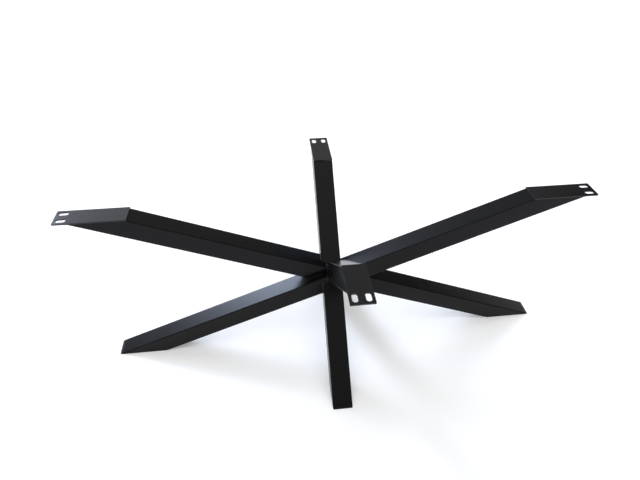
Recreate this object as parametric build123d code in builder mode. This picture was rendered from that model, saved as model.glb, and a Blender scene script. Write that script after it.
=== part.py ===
from build123d import *
import os
from math import atan2, sin

os.makedirs("parts", exist_ok=True)

# Height of the base, from the floor to the faces that carry the table top
BASE_HEIGHT = 710.0

# Square steel tube: outside size, wall and inside bend radius of its corners
TUBE_SIDE = 80.0
TUBE_WALL = 2.0
TUBE_BEND = 2.0

# Height at which the tubes cross, and how much higher the front arm sits on the others
CROSSING_HEIGHT = 350.0
FRONT_ARM_LIFT = 16.0

# How far each tube's axis has gone outwards where it meets its top plate
LONG_REACH = 858.0
SHORT_REACH = 370.0
FRONT_REACH = 402.0

# The two tubes of a pair pass side by side: each stands this far off the middle plane
LONG_SIDESTEP = 14.5
SHORT_SIDESTEP = 10.5

# Flat plates: one on each high end, standing out past the tube's axis, and one closing each low end
TOP_PLATE = 5.0
TOP_PLATE_CORNER = 3.0
LONG_OVERHANG = 151.0
SHORT_OVERHANG = 140.0
FRONT_OVERHANG = 108.0
FOOT_PLATE = 4.0

# The two screw slots in each top plate, which run outwards
SLOT_LENGTH = 36.0
SLOT_WIDTH = 18.0
SLOT_SPACING = 42.0
SLOT_MARGIN = 9.0

TUBE_TOP = BASE_HEIGHT - TOP_PLATE
TUBE_BORE = TUBE_SIDE - 2 * TUBE_WALL
TUBE_CORNER = TUBE_BEND + TUBE_WALL
BLANK_HALF = LONG_REACH + BASE_HEIGHT

# Straight lines that the tubes follow, each named after its high end, and the back leg's own:
# the way it climbs, in degrees, its reach, its sidestep and its height at the crossing
HEADINGS = {"left": 180.0, "right": 0.0, "back": 90.0, "front": -90.0, "back_leg": -90.0}
REACHES = {
    "left": LONG_REACH,
    "right": LONG_REACH,
    "back": SHORT_REACH,
    "front": FRONT_REACH,
    "back_leg": SHORT_REACH,
}
SIDESTEPS = {
    "left": -LONG_SIDESTEP,
    "right": -LONG_SIDESTEP,
    "back": SHORT_SIDESTEP,
    "front": SHORT_SIDESTEP,
    "back_leg": SHORT_SIDESTEP,
}
CROSSINGS = {
    "left": CROSSING_HEIGHT,
    "right": CROSSING_HEIGHT,
    "back": CROSSING_HEIGHT,
    "front": CROSSING_HEIGHT + FRONT_ARM_LIFT,
    "back_leg": CROSSING_HEIGHT,
}

# Tip of each top plate, and the line that comes down to each foot
TIPS = {
    "left": LONG_REACH + LONG_OVERHANG,
    "right": LONG_REACH + LONG_OVERHANG,
    "back": SHORT_REACH + SHORT_OVERHANG,
    "front": FRONT_REACH + FRONT_OVERHANG,
}
FEET = {"left": "right", "right": "left", "back": "back_leg", "front": "back"}


def outward(line):
    """Level direction from the crossing to a line's high end."""
    return Vector(1, 0, 0).rotate(Axis.Z, HEADINGS[line])


def sideways(line):
    """Level direction square to a line, to its left when looking outwards."""
    return Vector(0, 1, 0).rotate(Axis.Z, HEADINGS[line])


def section_plane(line):
    """Plane square across a tube at the crossing, with its normal uphill along the tube."""
    centre = sideways(line) * SIDESTEPS[line] + Vector(0, 0, CROSSINGS[line])
    uphill = outward(line) * REACHES[line] + Vector(0, 0, TUBE_TOP - CROSSINGS[line])
    return Plane(origin=centre, x_dir=sideways(line), z_dir=uphill)


def bar(line, low, high):
    """Solid of a tube's outside, from one level cut to another."""
    with BuildPart() as solid_bar:
        with BuildSketch(section_plane(line)):
            RectangleRounded(TUBE_SIDE, TUBE_SIDE, TUBE_CORNER)
        extrude(amount=BLANK_HALF, both=True)
        split(bisect_by=Plane.XY.offset(low), keep=Keep.TOP)
        split(bisect_by=Plane.XY.offset(high), keep=Keep.BOTTOM)
    return solid_bar.part


def tube(line):
    """Whole tube, cut level above its foot plate and below its top plate."""
    with BuildPart() as whole_tube:
        with BuildSketch(section_plane(line)):
            RectangleRounded(TUBE_SIDE, TUBE_SIDE, TUBE_CORNER)
            RectangleRounded(TUBE_BORE, TUBE_BORE, TUBE_BEND, mode=Mode.SUBTRACT)
        extrude(amount=BLANK_HALF, both=True)
        split(bisect_by=Plane.XY.offset(FOOT_PLATE), keep=Keep.TOP)
        split(bisect_by=Plane.XY.offset(TUBE_TOP), keep=Keep.BOTTOM)
    return whole_tube.part


def coped_half(line, keep, crossed):
    """Half of a tube beyond the crossing, coped to sit on the tubes that it meets."""
    with BuildPart() as half:
        add(tube(line))
        split(bisect_by=section_plane(line), keep=keep)
        for other in crossed:
            add(bar(other, FOOT_PLATE, TUBE_TOP), mode=Mode.SUBTRACT)
    return half.solids().sort_by(SortBy.VOLUME)[-1]


# Long tube that is high on the left: it runs through the crossing in one piece
with BuildPart() as left_tube:
    add(tube("left"))
left_tube.part.label = "left_tube"
export_step(left_tube.part, "parts/left_tube.step")

# Long tube that is high on the right: a deep notch in its back lets the other long tube through
with BuildPart() as right_tube:
    add(tube("right"))
    add(bar("left", FOOT_PLATE, TUBE_TOP), mode=Mode.SUBTRACT)
right_tube.part.label = "right_tube"
export_step(right_tube.part, "parts/right_tube.step")

# Short tube from the back to the front foot, in two halves coped to the long tubes
with BuildPart() as back_arm:
    add(coped_half("back", Keep.TOP, ("left", "right")))
back_arm.part.label = "back_arm"
export_step(back_arm.part, "parts/back_arm.step")

with BuildPart() as front_leg:
    add(coped_half("back", Keep.BOTTOM, ("left", "right")))
front_leg.part.label = "front_leg"
export_step(front_leg.part, "parts/front_leg.step")

# Front arm and back leg, coped to the long tubes and to the short tube that comes first
with BuildPart() as front_arm:
    add(coped_half("front", Keep.TOP, ("left", "right", "back")))
front_arm.part.label = "front_arm"
export_step(front_arm.part, "parts/front_arm.step")

with BuildPart() as back_leg:
    add(coped_half("back_leg", Keep.BOTTOM, ("left", "right", "back")))
back_leg.part.label = "back_leg"
export_step(back_leg.part, "parts/back_leg.step")

for end, tip in TIPS.items():
    # Level cut through the tube: it starts this far outwards from the crossing
    rise = atan2(TUBE_TOP - CROSSINGS[end], REACHES[end])
    inner_edge = REACHES[end] - TUBE_SIDE / 2 / sin(rise)
    seat = sideways(end) * SIDESTEPS[end] + Vector(0, 0, TUBE_TOP)

    # Top plate: covers the cut and stands out past it, where the screw slots are
    with BuildPart() as top_plate:
        with BuildSketch(Plane(origin=seat, x_dir=outward(end), z_dir=(0, 0, 1))) as outline:
            with Locations(((inner_edge + tip) / 2, 0)):
                Rectangle(tip - inner_edge, TUBE_SIDE)
            fillet(outline.vertices().group_by(Axis.X)[-1], TOP_PLATE_CORNER)
            with Locations((tip - SLOT_MARGIN - SLOT_LENGTH / 2, 0)):
                with GridLocations(0, SLOT_SPACING, 1, 2):
                    SlotOverall(SLOT_LENGTH, SLOT_WIDTH, mode=Mode.SUBTRACT)
        extrude(amount=TOP_PLATE)
    top_plate.part.label = f"{end}_top_plate"
    export_step(top_plate.part, f"parts/{end}_top_plate.step")

    # Foot plate: closes the low end of the tube that comes down there, in line with its faces
    with BuildPart() as foot_plate:
        add(bar(FEET[end], 0, FOOT_PLATE))
    foot_plate.part.label = f"{end}_foot_plate"
    export_step(foot_plate.part, f"parts/{end}_foot_plate.step")
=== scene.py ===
import bpy
import math
import numpy as np
from mathutils import Matrix, Vector


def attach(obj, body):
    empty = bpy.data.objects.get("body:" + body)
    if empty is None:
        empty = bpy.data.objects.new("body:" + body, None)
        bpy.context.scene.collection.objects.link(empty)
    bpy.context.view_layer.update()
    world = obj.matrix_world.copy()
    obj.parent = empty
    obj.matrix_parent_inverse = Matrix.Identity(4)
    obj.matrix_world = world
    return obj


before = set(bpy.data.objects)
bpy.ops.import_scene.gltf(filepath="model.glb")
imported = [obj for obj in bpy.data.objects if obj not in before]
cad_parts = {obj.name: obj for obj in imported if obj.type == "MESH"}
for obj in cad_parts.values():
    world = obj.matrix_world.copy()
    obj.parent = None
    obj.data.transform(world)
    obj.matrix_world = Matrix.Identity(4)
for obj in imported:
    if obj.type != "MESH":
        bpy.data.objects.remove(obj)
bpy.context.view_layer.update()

# Sizes of the base, in metres, as the solids have them
TUBE_HALF = 0.040
TUBE_CORNER = 0.004
CROSSING_HEIGHT = 0.350
FRONT_ARM_LIFT = 0.016
PLATE_UNDERSIDE = 0.705
LONG_REACH = 0.858
SHORT_REACH = 0.370
FRONT_REACH = 0.402
LONG_SIDESTEP = 0.0145
SHORT_SIDESTEP = 0.0105

# Line of each bar: direction in degrees, reach, sidestep and height at the crossing
BARS = {
    "left": (180.0, LONG_REACH, -LONG_SIDESTEP, CROSSING_HEIGHT),
    "right": (0.0, LONG_REACH, -LONG_SIDESTEP, CROSSING_HEIGHT),
    "back": (90.0, SHORT_REACH, SHORT_SIDESTEP, CROSSING_HEIGHT),
    "front": (-90.0, FRONT_REACH, SHORT_SIDESTEP, CROSSING_HEIGHT + FRONT_ARM_LIFT),
    "back_leg": (-90.0, SHORT_REACH, SHORT_SIDESTEP, CROSSING_HEIGHT),
}
LONG_BARS = ("left", "right")
SHORT_BARS = ("back", "front", "back_leg")

# Nodes that share a finish
ENDS = ("left", "right", "back", "front")
TUBES = ("left_tube", "right_tube", "back_arm", "front_leg", "front_arm", "back_leg")
TOP_PLATES = [f"{end}_top_plate" for end in ENDS]
FOOT_PLATES = [f"{end}_foot_plate" for end in ENDS]

# Radius of the weld beads. The front plate's slots start close to its seam, so that one is thin
TUBE_BEAD = 0.0026
PLATE_BEADS = {"left": 0.0030, "right": 0.0030, "back": 0.0030, "front": 0.0014}

# A bead under a plate stops this far from the tube's corners
PLATE_BEAD_INSET = 0.003

# A cope's line is looked for from this far out along the bar, in steps of this length
COPE_START = 0.260
COPE_STEP = 0.0005

# A seam between the long tubes ends this deep inside a short one
BURIED = 0.001

# Points on the lines that the beads follow, and the fewest that a seam is made from
CORNER_POINTS = 7
COPE_POINTS = 160
SLOPE_POINTS = 60
LEVEL_POINTS = 24
PLATE_POINTS = 40
FEWEST_POINTS = 4

# Floor: half of its side and how far below the feet it lies, in metres, its grey and its glow
FLOOR_HALF = 80.0
FLOOR_DROP = 0.0004
FLOOR_GREY = 0.93
FLOOR_GLOW = 0.18

# Directions in the room: degrees from +Y round towards -X, and degrees above the horizon
WINDOW = (33.0, 33.0)
LEFT_OF_WINDOW = (123.0, 0.0)
BACK_WALL = (6.0, 38.0)
BACK_RIGHT = (-47.0, 0.0)
CEILING = (180.0, 62.0)
BACK_LEFT_LAMP = (36.0, 32.0)
OVERHEAD_LAMP = (0.0, 88.0)

# Strength of the window at its brightest, and how fast it fades towards the left
WINDOW_STRENGTH = 31.0
WINDOW_FADING = 2.8

# Lamps stand this far from the middle of the base, in metres
LAMP_DISTANCE = 9.0

# Camera that matches the photograph: place and length of sight in metres, turns in degrees,
# lens and sensor in millimetres
CAMERA_PLACE = (-0.22371, -1.41640, 1.72780)
CAMERA_HEADING = 6.678
CAMERA_DOWN = 39.933
CAMERA_ROLL = 0.325
CAMERA_LENS = 26.469
CAMERA_SENSOR = 36.0
CAMERA_SIGHT = 100.0

# Tints of the light
WHITE = (1.0, 1.0, 1.0)
COOL = (0.81, 0.95, 1.23)
PALE_COOL = (0.92, 0.97, 1.11)
LAMP_COOL = (0.90, 0.95, 1.0)


# Small helpers for node trees and objects
def add(tree, kind, values=None, **settings):
    """Adds a node and sets its options. Its inputs get plain values or other nodes' outputs."""
    node = tree.nodes.new(kind)
    for key, value in settings.items():
        setattr(node, key, value)
    for key, value in (values or {}).items():
        if isinstance(value, bpy.types.NodeSocket):
            tree.links.new(value, node.inputs[key])
        else:
            node.inputs[key].default_value = value
    return node


def maths(tree, operation, *values, **settings):
    """Result of a maths node on values or other nodes' outputs."""
    inputs = dict(enumerate(values))
    return add(tree, "ShaderNodeMath", inputs, operation=operation, **settings).outputs[0]


def ramp(tree, source, span, levels, kind="SMOOTHSTEP"):
    """Value that goes from the first level to the last while its source crosses a span."""
    values = {
        "Value": source,
        "From Min": span[0],
        "From Max": span[1],
        "To Min": levels[0],
        "To Max": levels[1],
    }
    return add(tree, "ShaderNodeMapRange", values, interpolation_type=kind).outputs["Result"]


def noise(tree, values):
    """Value of a noise texture."""
    return add(tree, "ShaderNodeTexNoise", values).outputs["Fac"]


def node_group(name, kind, inputs, outputs):
    """Empty node group with its named inputs, their defaults and its named outputs."""
    tree = bpy.data.node_groups.new(name, kind)
    for label, socket_kind, default in inputs:
        socket = tree.interface.new_socket(name=label, in_out="INPUT", socket_type=socket_kind)
        if default is not None:
            socket.default_value = default
    for label, socket_kind in outputs:
        tree.interface.new_socket(name=label, in_out="OUTPUT", socket_type=socket_kind)
    return tree


def empty_material(name):
    """Material with an empty node tree."""
    material = bpy.data.materials.new(name)
    material.use_nodes = True
    material.node_tree.nodes.clear()
    return material


def put_in_scene(name, data):
    """Object with this data, in the scene."""
    thing = bpy.data.objects.new(name, data)
    bpy.context.scene.collection.objects.link(thing)
    return thing


# Effects that the finishes share
def powder_skin_group():
    """Orange peel and fine grain of a baked powder coat: a height and a roughness."""
    tree = node_group(
        "powder skin", "ShaderNodeTree",
        inputs=(
            ("Peel Size", "NodeSocketFloat", 0.0028),
            ("Peel Depth", "NodeSocketFloat", 1.0),
            ("Grain Size", "NodeSocketFloat", 0.0006),
            ("Grain Depth", "NodeSocketFloat", 0.25),
            ("Base Roughness", "NodeSocketFloat", 0.30),
            ("Roughness Spread", "NodeSocketFloat", 0.04),
        ),
        outputs=(("Height", "NodeSocketFloat"), ("Roughness", "NodeSocketFloat")),
    )
    inside = add(tree, "NodeGroupInput").outputs
    place = add(tree, "ShaderNodeTexCoord").outputs["Object"]

    peel_scale = maths(tree, "DIVIDE", 1.0, inside["Peel Size"])
    peel = noise(tree, {"Vector": place, "Scale": peel_scale, "Detail": 1.5, "Roughness": 0.45})
    grain_scale = maths(tree, "DIVIDE", 1.0, inside["Grain Size"])
    grain = noise(tree, {"Vector": place, "Scale": grain_scale, "Detail": 1.0, "Roughness": 0.5})
    peel_height = maths(tree, "MULTIPLY", peel, inside["Peel Depth"])
    grain_height = maths(tree, "MULTIPLY", grain, inside["Grain Depth"])

    # Broad patches where the powder flowed out a little more or less
    flow = noise(tree, {"Vector": place, "Scale": 9.0, "Detail": 2.0, "Roughness": 0.5})
    centred = maths(tree, "SUBTRACT", flow, 0.5)
    spread = maths(tree, "MULTIPLY", centred, inside["Roughness Spread"])

    add(tree, "NodeGroupOutput", {
        "Height": maths(tree, "ADD", peel_height, grain_height),
        "Roughness": maths(tree, "ADD", spread, inside["Base Roughness"], use_clamp=True),
    })
    return tree


def black_pigment_group():
    """Black that drifts a little in depth, with a trace of fine dust on faces that look up."""
    tree = node_group(
        "black pigment", "ShaderNodeTree",
        inputs=(
            ("Deep", "NodeSocketColor", (0.0024, 0.0024, 0.0027, 1.0)),
            ("Light", "NodeSocketColor", (0.0052, 0.0052, 0.0058, 1.0)),
            ("Dust", "NodeSocketColor", (0.1200, 0.1150, 0.1080, 1.0)),
            ("Dust Amount", "NodeSocketFloat", 0.02),
        ),
        outputs=(("Colour", "NodeSocketColor"), ("Dust Mask", "NodeSocketFloat")),
    )
    inside = add(tree, "NodeGroupInput").outputs
    place = add(tree, "ShaderNodeTexCoord").outputs["Object"]

    drift = noise(tree, {"Vector": place, "Scale": 6.0, "Detail": 4.0, "Roughness": 0.55})
    shades = {"Factor": drift, "A": inside["Deep"], "B": inside["Light"]}
    black = add(tree, "ShaderNodeMix", shades, data_type="RGBA").outputs["Result"]

    # Dust lies in small motes, and only on faces that look up
    normal = add(tree, "ShaderNodeNewGeometry").outputs["Normal"]
    facing = add(tree, "ShaderNodeSeparateXYZ", {0: normal}).outputs["Z"]
    upward = ramp(tree, facing, (0.45, 1.0), (0.0, 1.0), "LINEAR")
    motes = noise(tree, {"Vector": place, "Scale": 260.0, "Detail": 3.0, "Roughness": 0.7})
    settled = ramp(tree, motes, (0.45, 0.80), (0.0, 1.0), "LINEAR")
    dusty = maths(tree, "MULTIPLY", upward, settled)
    mask = maths(tree, "MULTIPLY", dusty, inside["Dust Amount"], use_clamp=True)
    coats = {"Factor": mask, "A": black, "B": inside["Dust"]}
    coloured = add(tree, "ShaderNodeMix", coats, data_type="RGBA").outputs["Result"]

    add(tree, "NodeGroupOutput", {"Colour": coloured, "Dust Mask": mask})
    return tree


# Finishes
def coat_material(name, skin, pigment, skin_values, dust, depth, edge_round, shine):
    """Satin black powder coat, baked on steel."""
    material = empty_material(name)
    tree = material.node_tree
    finish = add(tree, "ShaderNodeGroup", skin_values, node_tree=skin)
    colour = add(tree, "ShaderNodeGroup", {"Dust Amount": dust}, node_tree=pigment)
    eased = add(tree, "ShaderNodeBevel", {"Radius": edge_round}, samples=4)
    relief = add(tree, "ShaderNodeBump", {
        "Strength": 1.0,
        "Distance": depth,
        "Height": finish.outputs["Height"],
        "Normal": eased.outputs["Normal"],
    })
    shader = add(tree, "ShaderNodeBsdfPrincipled", {
        "Base Color": colour.outputs["Colour"],
        "Metallic": 0.0,
        "Roughness": finish.outputs["Roughness"],
        "IOR": 1.5,
        "Specular IOR Level": shine,
        "Normal": relief.outputs["Normal"],
    })
    add(tree, "ShaderNodeOutputMaterial", {"Surface": shader.outputs["BSDF"]})
    return material


def tube_coat(skin, pigment):
    """Coat on the square tubes: long smooth faces with a faint orange peel."""
    return coat_material(
        "tube_coat", skin, pigment,
        {"Peel Size": 0.0030, "Base Roughness": 0.25, "Roughness Spread": 0.05},
        dust=0.02, depth=0.000015, edge_round=0.0008, shine=0.14,
    )


def plate_coat(skin, pigment):
    """Coat on the flat top plates: smoother and shinier, and eased over the sheared edges."""
    return coat_material(
        "plate_coat", skin, pigment,
        {"Peel Size": 0.0024, "Base Roughness": 0.12, "Roughness Spread": 0.04},
        dust=0.03, depth=0.000012, edge_round=0.0012, shine=0.35,
    )


def foot_coat(skin, pigment):
    """Coat on the plates that close the low ends: rubbed duller by the floor."""
    return coat_material(
        "foot_coat", skin, pigment,
        {"Peel Size": 0.0026, "Base Roughness": 0.36, "Roughness Spread": 0.08},
        dust=0.04, depth=0.000018, edge_round=0.0006, shine=0.20,
    )


def weld_coat(skin, pigment):
    """Coat on the weld seams: a finer orange peel, and a little more shine than the tubes."""
    return coat_material(
        "weld_coat", skin, pigment,
        {"Peel Size": 0.0016, "Base Roughness": 0.26, "Roughness Spread": 0.08},
        dust=0.02, depth=0.000012, edge_round=0.0002, shine=0.25,
    )


def dress(names, material):
    """Puts a finish on CAD nodes."""
    for name in names:
        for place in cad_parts[name].material_slots:
            place.material = material


# Lines of the weld seams
def bar_axes(bar):
    """Centre of a bar at the crossing, its uphill direction and its two directions across."""
    heading, reach, sidestep, crossing = BARS[bar]
    turn = math.radians(heading)
    outward = np.array([math.cos(turn), math.sin(turn), 0.0])
    across = np.array([-math.sin(turn), math.cos(turn), 0.0])
    uphill = outward * reach + np.array([0.0, 0.0, PLATE_UNDERSIDE - crossing])
    uphill = uphill / np.linalg.norm(uphill)
    square = np.cross(uphill, across)
    centre = across * sidestep + np.array([0.0, 0.0, crossing])
    return centre, uphill, across, square


def gap_to_bar(points, bar):
    """Distance of each point from a bar's outside face, negative inside the bar."""
    centre, uphill, across, square = bar_axes(bar)
    flat = TUBE_HALF - TUBE_CORNER
    u = np.abs((points - centre) @ across) - flat
    v = np.abs((points - centre) @ square) - flat
    out = np.hypot(np.maximum(u, 0.0), np.maximum(v, 0.0))
    return out + np.minimum(np.maximum(u, v), 0.0) - TUBE_CORNER


def gap_to_nearest(points, bars):
    """Distance of each point from the nearest of several bars, negative inside one."""
    return np.min([gap_to_bar(points, bar) for bar in bars], axis=0)


def section_outline():
    """Points round the tube's rounded square section, and evenly spread along it."""
    flat = TUBE_HALF - TUBE_CORNER
    corners = []
    for quarter, signs in enumerate([(1, 1), (-1, 1), (-1, -1), (1, -1)]):
        middle = np.array([flat, flat]) * signs
        for step in range(CORNER_POINTS):
            turn = math.radians(90.0 * (quarter + step / (CORNER_POINTS - 1)))
            corners.append(middle + TUBE_CORNER * np.array([math.cos(turn), math.sin(turn)]))
    ring = np.array(corners + corners[:1])
    lengths = np.linalg.norm(np.diff(ring, axis=0), axis=1)
    run = np.concatenate([[0.0], np.cumsum(lengths)])
    spread = np.linspace(0.0, run[-1], COPE_POINTS, endpoint=False)
    return np.stack([np.interp(spread, run, side) for side in ring.T], axis=1)


def cope_path(bar, high, crossed):
    """Closed line where one half of a bar lands on the bars that it meets."""
    centre, uphill, across, square = bar_axes(bar)
    way = uphill if high else -uphill
    ring = section_outline()
    starts = centre + ring[:, :1] * across + ring[:, 1:] * square

    # Each point comes in along the bar until it touches another one
    reached = np.full(len(ring), COPE_START)
    clear = np.ones(len(ring), dtype=bool)
    for step in range(round(COPE_START / COPE_STEP)):
        gap = gap_to_nearest(starts + way * reached[:, None], crossed)
        clear = clear & (gap > 0.0) & (reached > 0.0)
        reached = np.where(clear, reached - COPE_STEP, reached)
    return starts + way * reached[:, None]


def pair_paths():
    """Open lines where the two long tubes lie against each other, where no short one hides them."""
    rise = math.atan2(PLATE_UNDERSIDE - CROSSING_HEIGHT, LONG_REACH)
    half_height = TUBE_HALF / math.cos(rise)
    slope = math.tan(rise)
    end = half_height / slope
    inner = TUBE_HALF - LONG_SIDESTEP
    x = np.linspace(0.0, end, SLOPE_POINTS)
    y = np.linspace(-inner, inner, LEVEL_POINTS)[1:-1]
    upper = CROSSING_HEIGHT + half_height - slope * x
    lower = CROSSING_HEIGHT - half_height + slope * x
    paths = []
    for side in (-1.0, 1.0):
        front, back = (upper, lower) if side < 0 else (lower, upper)
        runs = (
            (side * x, -inner, front),
            (side * end, y, CROSSING_HEIGHT),
            (side * x[::-1], inner, back[::-1]),
        )
        line = np.concatenate([np.stack(np.broadcast_arrays(*run), axis=1) for run in runs])
        hidden = gap_to_nearest(line, SHORT_BARS) < -BURIED
        changes = np.where(np.diff(hidden.astype(int)))[0] + 1
        for run in np.split(np.arange(len(line)), changes):
            if not hidden[run[0]] and len(run) >= FEWEST_POINTS:
                paths.append(line[run])
    return paths


def plate_path(end):
    """Line where the underside of a tube runs out under its top plate."""
    centre, uphill, across, square = bar_axes(end)
    half_width = TUBE_HALF - PLATE_BEAD_INSET
    width = np.linspace(-half_width, half_width, PLATE_POINTS)
    points = centre + width[:, None] * across - TUBE_HALF * square
    climb = (PLATE_UNDERSIDE - points[:, 2]) / uphill[2]
    return points + climb[:, None] * uphill


# Weld seams
def weld_bead_tree():
    """Geometry nodes: a bead with even ripples along a line."""
    tree = node_group(
        "weld bead", "GeometryNodeTree",
        inputs=(
            ("Line", "NodeSocketGeometry", None),
            ("Bead Radius", "NodeSocketFloat", 0.0028),
            ("Ripple Pitch", "NodeSocketFloat", 0.0036),
            ("Rings in a Ripple", "NodeSocketFloat", 4.0),
            ("Ripple Depth", "NodeSocketFloat", 0.16),
            ("Wander", "NodeSocketFloat", 0.18),
            ("Finish", "NodeSocketMaterial", None),
        ),
        outputs=(("Bead", "NodeSocketGeometry"),),
    )
    inside = add(tree, "NodeGroupInput").outputs
    ring_step = maths(tree, "DIVIDE", inside["Ripple Pitch"], inside["Rings in a Ripple"])
    rings = add(tree, "GeometryNodeResampleCurve", {
        "Curve": inside["Line"],
        "Length": ring_step,
    }, mode="LENGTH")

    # The radius swells once in each ripple, and wanders a little from one to the next
    place = add(tree, "GeometryNodeSplineParameter")
    ripples = maths(tree, "DIVIDE", place.outputs["Length"], inside["Ripple Pitch"])
    wave = maths(tree, "SINE", maths(tree, "MULTIPLY", ripples, math.pi))
    swell = maths(tree, "MULTIPLY", maths(tree, "ABSOLUTE", wave), inside["Ripple Depth"])
    centred = maths(tree, "SUBTRACT", noise(tree, {"Scale": 70.0, "Detail": 1.0}), 0.5)
    uneven = maths(tree, "MULTIPLY", centred, inside["Wander"])
    factor = maths(tree, "ADD", maths(tree, "ADD", swell, uneven), 1.0)

    circle = {"Resolution": 8, "Radius": 1.0}
    profile = add(tree, "GeometryNodeCurvePrimitiveCircle", circle, mode="RADIUS")
    bead = add(tree, "GeometryNodeCurveToMesh", {
        "Curve": rings.outputs["Curve"],
        "Profile Curve": profile.outputs["Curve"],
        "Scale": maths(tree, "MULTIPLY", factor, inside["Bead Radius"]),
        "Fill Caps": True,
    })
    smooth = add(tree, "GeometryNodeSetShadeSmooth", {"Geometry": bead.outputs["Mesh"]})
    real = add(tree, "GeometryNodeRealizeInstances", {"Geometry": smooth.outputs["Geometry"]})
    coated = add(tree, "GeometryNodeSetMaterial", {
        "Geometry": real.outputs["Geometry"],
        "Material": inside["Finish"],
    })
    add(tree, "NodeGroupOutput", {"Bead": coated.outputs["Geometry"]})
    return tree


def line_object(name, paths, closed):
    """Curve object with one plain line for each list of points."""
    data = bpy.data.curves.new(name, "CURVE")
    data.dimensions = "3D"
    for points in paths:
        line = data.splines.new("POLY")
        line.points.add(len(points) - 1)
        for spot, (x, y, z) in zip(line.points, points):
            spot.co = (x, y, z, 1.0)
        line.use_cyclic_u = closed
    return put_in_scene(name, data)


def weld_seam(name, paths, radius, tree, material, closed=False):
    """Runs a bead along the lines, and leaves it as a plain mesh on the base."""
    line = line_object(name + "_line", paths, closed)
    bead = line.modifiers.new("bead", "NODES")
    bead.node_group = tree
    values = {"Bead Radius": radius, "Finish": material}
    for socket in tree.interface.items_tree:
        if socket.name in values:
            bead[socket.identifier] = values[socket.name]
    bpy.context.view_layer.update()
    depsgraph = bpy.context.evaluated_depsgraph_get()
    finished = line.evaluated_get(depsgraph)
    mesh = bpy.data.meshes.new_from_object(finished, depsgraph=depsgraph)
    mesh.name = name
    piece = put_in_scene(name, mesh)
    bpy.data.objects.remove(line)
    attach(piece, "root")


def weld_seams(material):
    """The seams: round each coped piece, between the long tubes and under each top plate."""
    tree = weld_bead_tree()
    copes = {
        "back_arm_weld": ("back", True, LONG_BARS),
        "front_leg_weld": ("back", False, LONG_BARS),
        "front_arm_weld": ("front", True, LONG_BARS + ("back",)),
        "back_leg_weld": ("back_leg", False, LONG_BARS + ("back",)),
    }
    for name, (bar, high, crossed) in copes.items():
        path = cope_path(bar, high, crossed)
        weld_seam(name, [path], TUBE_BEAD, tree, material, closed=True)
    weld_seam("tube_crossing_weld", pair_paths(), TUBE_BEAD, tree, material)
    for end, radius in PLATE_BEADS.items():
        weld_seam(f"{end}_plate_weld", [plate_path(end)], radius, tree, material)


# Floor
def seen_directly(tree):
    """Value that is 1 for what the camera, a gloss or clear glass sees."""
    path = add(tree, "ShaderNodeLightPath").outputs
    first = maths(tree, "MAXIMUM", path["Is Camera Ray"], path["Is Glossy Ray"])
    return maths(tree, "MAXIMUM", first, path["Is Transmission Ray"])


def floor_material():
    """Matt white that glows a little where it is seen, and keeps the shadow of the base."""
    material = empty_material("studio_floor")
    tree = material.node_tree
    shader = add(tree, "ShaderNodeBsdfPrincipled", {
        "Base Color": (FLOOR_GREY, FLOOR_GREY, FLOOR_GREY, 1.0),
        "Roughness": 0.9,
        "Specular IOR Level": 0.0,
        "Emission Color": (1.0, 1.0, 1.0, 1.0),
        "Emission Strength": maths(tree, "MULTIPLY", seen_directly(tree), FLOOR_GLOW),
    })
    add(tree, "ShaderNodeOutputMaterial", {"Surface": shader.outputs["BSDF"]})
    return material


def studio_floor():
    """Large pale floor, wide enough that the camera doesn't see its edge."""
    corners = [
        (x * FLOOR_HALF, y * FLOOR_HALF, -FLOOR_DROP)
        for x, y in ((-1, -1), (1, -1), (1, 1), (-1, 1))
    ]
    mesh = bpy.data.meshes.new("studio_floor")
    mesh.from_pydata(corners, [], [(0, 1, 2, 3)])
    mesh.materials.append(floor_material())
    floor = put_in_scene("studio_floor", mesh)


# Room that the base mirrors, painted by direction in the world
def room_way(direction):
    """Vector of length one in one of the directions in the room."""
    turn, tilt = (math.radians(angle) for angle in direction)
    level = math.cos(tilt)
    return Vector((-math.sin(turn) * level, math.cos(turn) * level, math.sin(tilt)))


def along(tree, look, way):
    """Cosine of the angle between two directions."""
    values = {0: look, 1: way}
    return add(tree, "ShaderNodeVectorMath", values, operation="DOT_PRODUCT").outputs["Value"]


def glow_round(tree, look, direction, span, strength):
    """Light that is even near a direction and fades out over a span of angles, in radians."""
    angle = maths(tree, "ARCCOSINE", along(tree, look, room_way(direction)))
    return ramp(tree, angle, span, (strength, 0.0))


def tinted(tree, colour, strength):
    """Colour at the strength that a value gives."""
    values = {0: colour, "Scale": strength}
    return add(tree, "ShaderNodeVectorMath", values, operation="SCALE").outputs["Vector"]


def window_light(tree, look, height):
    """The window: brightest by its right edge, and fading out towards the left."""
    sideways = along(tree, look, room_way(LEFT_OF_WINDOW))
    falling = ramp(tree, sideways, (0.0, 0.25), (1.0, 0.0), "LINEAR")
    fading = maths(tree, "POWER", falling, WINDOW_FADING)
    right_edge = ramp(tree, sideways, (-0.046, -0.020), (0.0, WINDOW_STRENGTH))
    sill = ramp(tree, height, (0.18, 0.32), (0.0, 1.0))
    head = ramp(tree, height, (0.62, 0.74), (1.0, 0.0))
    towards_window = along(tree, look, room_way(WINDOW))
    near_window = ramp(tree, towards_window, (0.5, 0.6), (0.0, 1.0))
    light = fading
    for limit in (right_edge, sill, head, near_window):
        light = maths(tree, "MULTIPLY", light, limit)
    return light


def horizon_light(tree, look, height):
    """White all round where the room meets the floor, and higher except at the back right."""
    back_right = along(tree, look, room_way(BACK_RIGHT))
    bright_side = ramp(tree, back_right, (0.75, 0.90), (1.0, 0.0))
    low_band = ramp(tree, height, (0.11, 0.24), (1.0, 0.0))
    high_band = ramp(tree, height, (0.22, 0.36), (1.0, 0.0))
    return maths(tree, "MAXIMUM", low_band, maths(tree, "MULTIPLY", high_band, bright_side))


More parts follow.
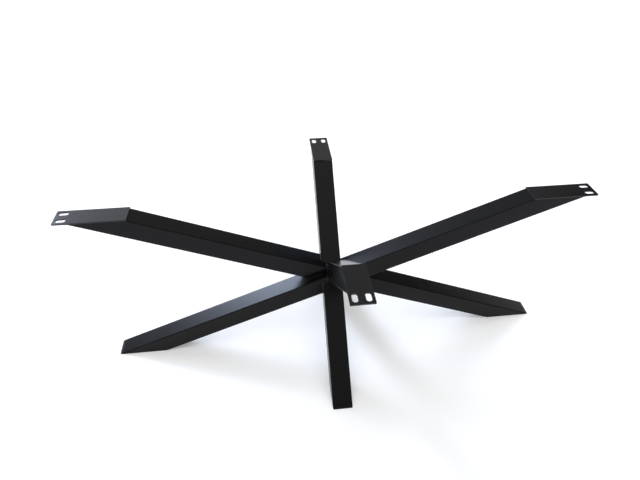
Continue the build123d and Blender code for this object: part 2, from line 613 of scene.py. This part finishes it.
def studio_world():
    """Pale room: white at the horizon, a soft window at the back on the left, dim walls."""
    world = bpy.data.worlds.new("studio_world")
    bpy.context.scene.world = world
    world.use_nodes = True
    tree = world.node_tree
    tree.nodes.clear()
    look = add(tree, "ShaderNodeTexCoord").outputs["Generated"]
    height = add(tree, "ShaderNodeSeparateXYZ", {0: look}).outputs["Z"]

    window = window_light(tree, look, height)
    round_window = glow_round(tree, look, WINDOW, span=(0.10, 0.60), strength=0.90)
    back_wall = glow_round(tree, look, BACK_WALL, span=(0.40, 0.85), strength=0.52)
    ceiling = glow_round(tree, look, CEILING, span=(0.05, 0.90), strength=1.30)
    total = tinted(tree, COOL, window)
    for colour, light in ((PALE_COOL, round_window), (WHITE, back_wall), (WHITE, ceiling)):
        both = {0: total, 1: tinted(tree, colour, light)}
        total = add(tree, "ShaderNodeVectorMath", both, operation="ADD").outputs["Vector"]

    horizon = tinted(tree, WHITE, horizon_light(tree, look, height))
    brighter = add(tree, "ShaderNodeVectorMath", {0: total, 1: horizon}, operation="MAXIMUM")
    seen = {"Color": brighter.outputs["Vector"], "Strength": 1.0}
    light = add(tree, "ShaderNodeBackground", seen)
    add(tree, "ShaderNodeOutputWorld", {"Surface": light.outputs["Background"]})


# Lamps and camera
def softbox(name, direction, side, power, colour):
    """Square soft lamp in one direction of the room, turned to the middle of the base."""
    way = room_way(direction)
    data = bpy.data.lights.new(name, "AREA")
    data.shape = "RECTANGLE"
    data.size = side
    data.size_y = side
    data.energy = power
    data.color = colour
    lamp = put_in_scene(name, data)
    lamp.location = Vector((0.0, 0.0, CROSSING_HEIGHT)) + way * LAMP_DISTANCE
    lamp.rotation_euler = (-way).to_track_quat("-Z", "Y").to_euler()
    lamp.visible_glossy = False
    lamp.visible_camera = False


def studio_lights():
    """One cool softbox at the window, and a wide soft one straight above."""
    softbox("back_left_softbox", BACK_LEFT_LAMP, side=2.2, power=130.0, colour=LAMP_COOL)
    softbox("overhead_softbox", OVERHEAD_LAMP, side=10.0, power=440.0, colour=WHITE)


def studio_camera():
    """Camera where the photograph's was: above and a little left of the front."""
    data = bpy.data.cameras.new("photo_camera")
    data.sensor_fit = "HORIZONTAL"
    data.sensor_width = CAMERA_SENSOR
    data.lens = CAMERA_LENS
    data.clip_end = CAMERA_SIGHT
    camera = put_in_scene("photo_camera", data)
    heading = Matrix.Rotation(-math.radians(CAMERA_HEADING), 4, "Z")
    tilt = Matrix.Rotation(math.pi / 2 - math.radians(CAMERA_DOWN), 4, "X")
    roll = Matrix.Rotation(math.radians(CAMERA_ROLL), 4, "Z")
    camera.matrix_world = Matrix.Translation(CAMERA_PLACE) @ heading @ tilt @ roll
    bpy.context.scene.camera = camera


skin = powder_skin_group()
pigment = black_pigment_group()
dress(TUBES, tube_coat(skin, pigment))
dress(TOP_PLATES, plate_coat(skin, pigment))
dress(FOOT_PLATES, foot_coat(skin, pigment))
weld_seams(weld_coat(skin, pigment))

studio_floor()
studio_world()
studio_lights()
studio_camera()
bpy.context.scene.view_settings.view_transform = "Standard"
